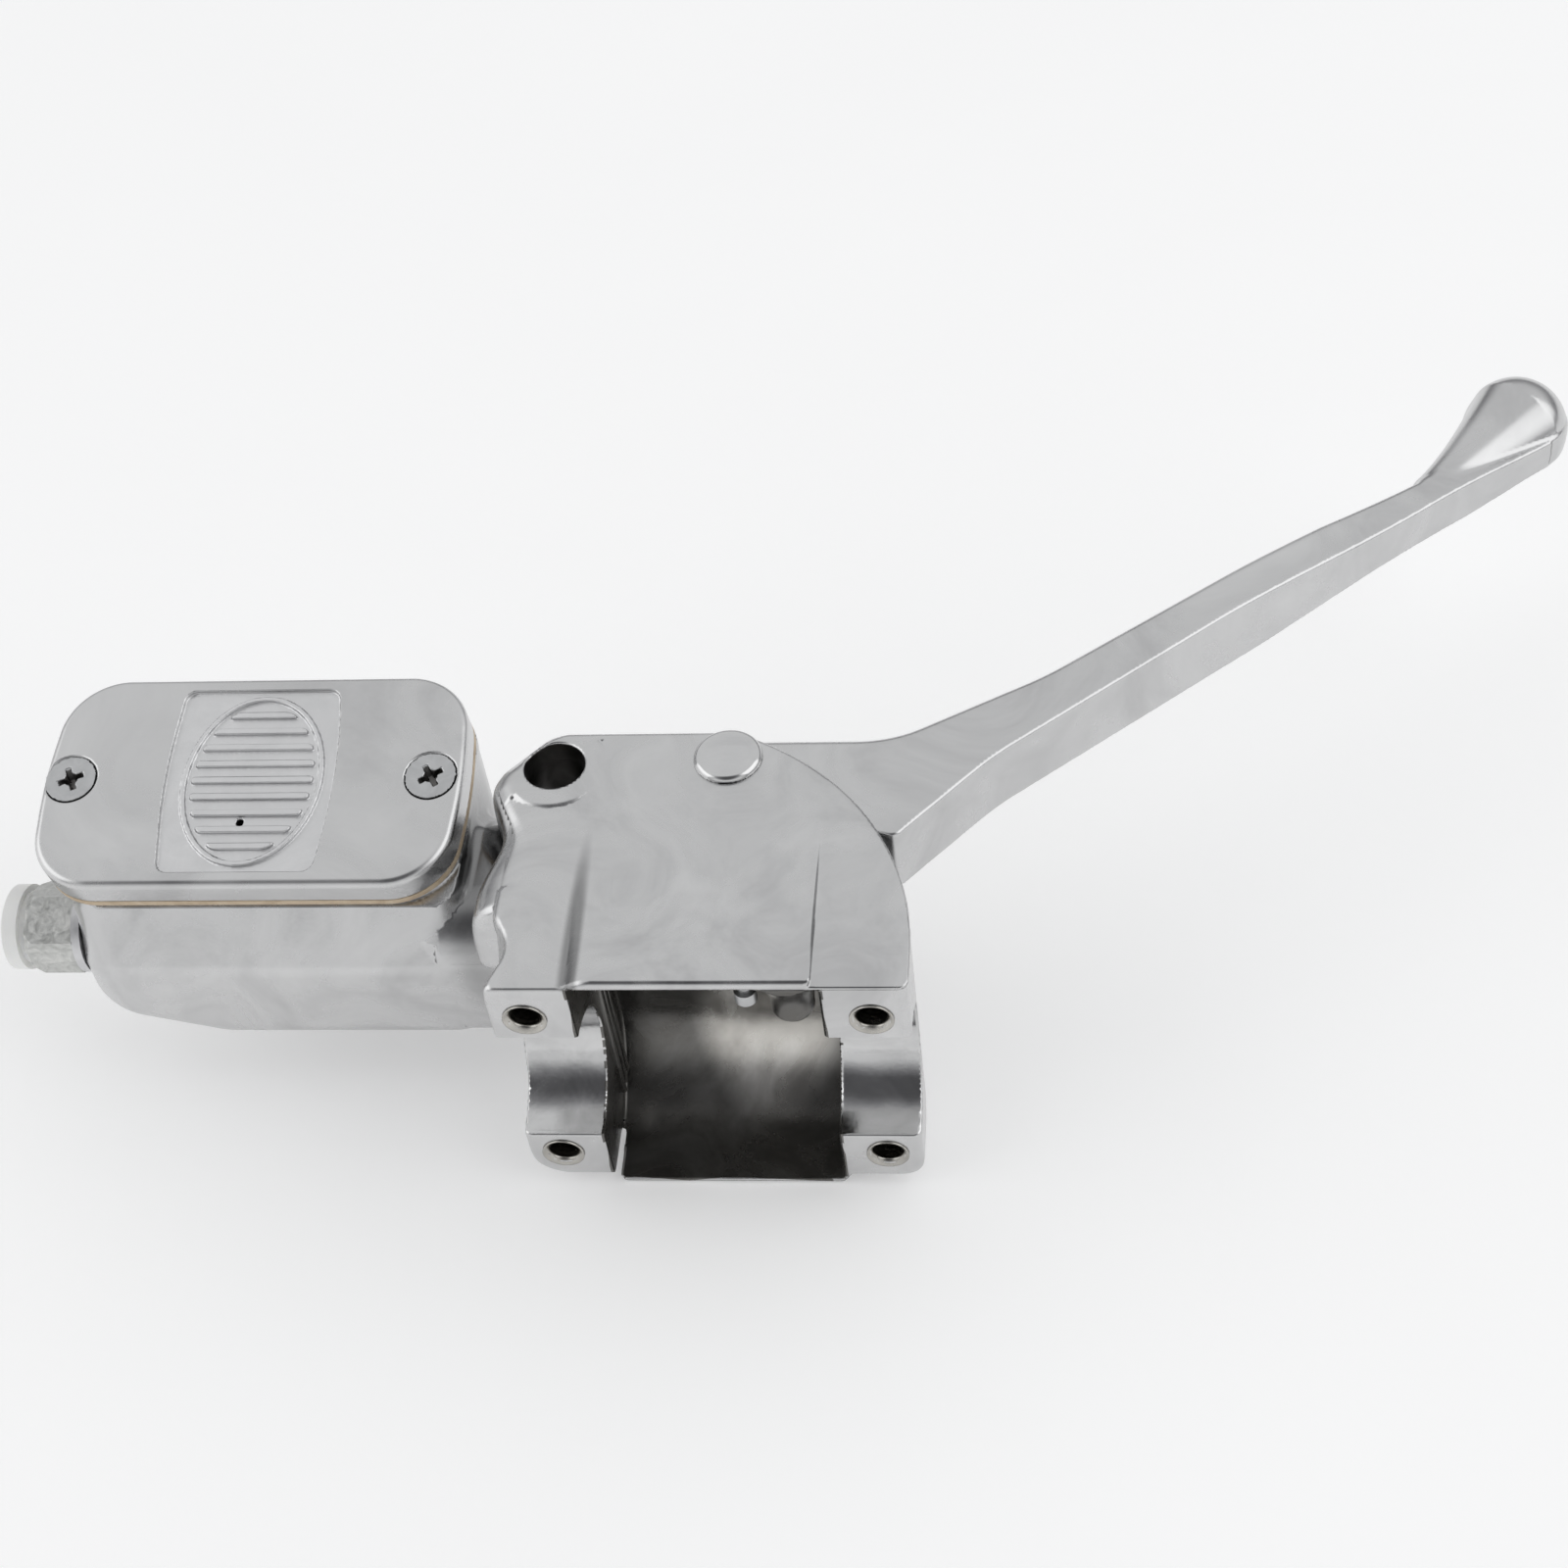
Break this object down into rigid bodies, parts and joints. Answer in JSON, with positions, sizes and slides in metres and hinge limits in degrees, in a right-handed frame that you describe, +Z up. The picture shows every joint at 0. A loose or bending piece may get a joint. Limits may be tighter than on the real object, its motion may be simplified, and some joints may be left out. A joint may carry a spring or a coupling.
{
  "type": "brake master cylinder",
  "caption": "Handlebar front-brake master cylinder: cast reservoir, cover, bore and half clamp in one piece, with a pivoting ball-ended lever that pushes the piston.",
  "frame": {"origin": "on the handlebar's axis, midway between the two clamp saddles, in the clamp's parting plane", "axes": "+X along the handlebar towards the lever's tip, +Y forwards from the clamp's parting face to the pivot, +Z up, square to the flat top plate"},
  "size_m": [0.2602, 0.1381, 0.0549],
  "materials": {
    "cast_body": "chrome-plated die casting, softly polished",
    "cover_metal": "chrome-plated, polished",
    "lever_metal": "polished forging",
    "piston_metal": "hard anodised, satin",
    "screw_steel": "plated, satin",
    "pin_steel": "plated, polished",
    "spring_steel": "phosphated",
    "zinc_plated": "zinc plated, mottled",
    "bronze": "sintered bronze",
    "soft_aluminium": "soft, dull",
    "black_rubber": "matte",
    "gasket": "tan gasket sheet",
    "cap_plastic": "translucent natural polyethylene"
  },
  "bodies": {
    "housing": {"master_cylinder_body": "cast_body", "reservoir_cover": "cover_metal", "cover_gasket": "gasket", "reservoir_diaphragm": "black_rubber", "cover_screws": "screw_steel", "pivot_pin": "pin_steel", "pivot_circlip": "spring_steel", "thrust_washer": "spring_steel", "retaining_washer": "spring_steel", "snap_ring": "spring_steel", "return_spring": "spring_steel", "dust_boot": "black_rubber", "crush_washer": "soft_aluminium", "outlet_fitting": "zinc_plated", "thread_cap": "cap_plastic", "switch_screw": "screw_steel"},
    "lever": {"brake_lever": "lever_metal", "lever_bush": "bronze", "push_rod_pin": "pin_steel"},
    "piston": {"piston": "piston_metal", "push_rod": "pin_steel", "primary_cup": "black_rubber", "secondary_cup": "black_rubber", "cup_spacer": "spring_steel", "spring_seat": "piston_metal"}
  },
  "joints": [
    {"name": "lever_pivot", "type": "hinge", "parent": "housing", "child": "lever", "pos_m": [0.0016, 0.0437, 0.018], "axis": [0, 0, -1], "range_deg": [0, 22], "stiffness_Nm_per_rad": 0.3, "springref_deg": -20.05},
    {"name": "piston_stroke", "type": "slide", "parent": "housing", "child": "piston", "axis": [-1, 0, 0], "range_m": [0, 0.00496], "deforming": ["return_spring", "dust_boot"]}
  ],
  "couplings": [
    {"joint": "piston_stroke", "follows": "lever_pivot", "m_per_rad": 0.012878}
  ]
}
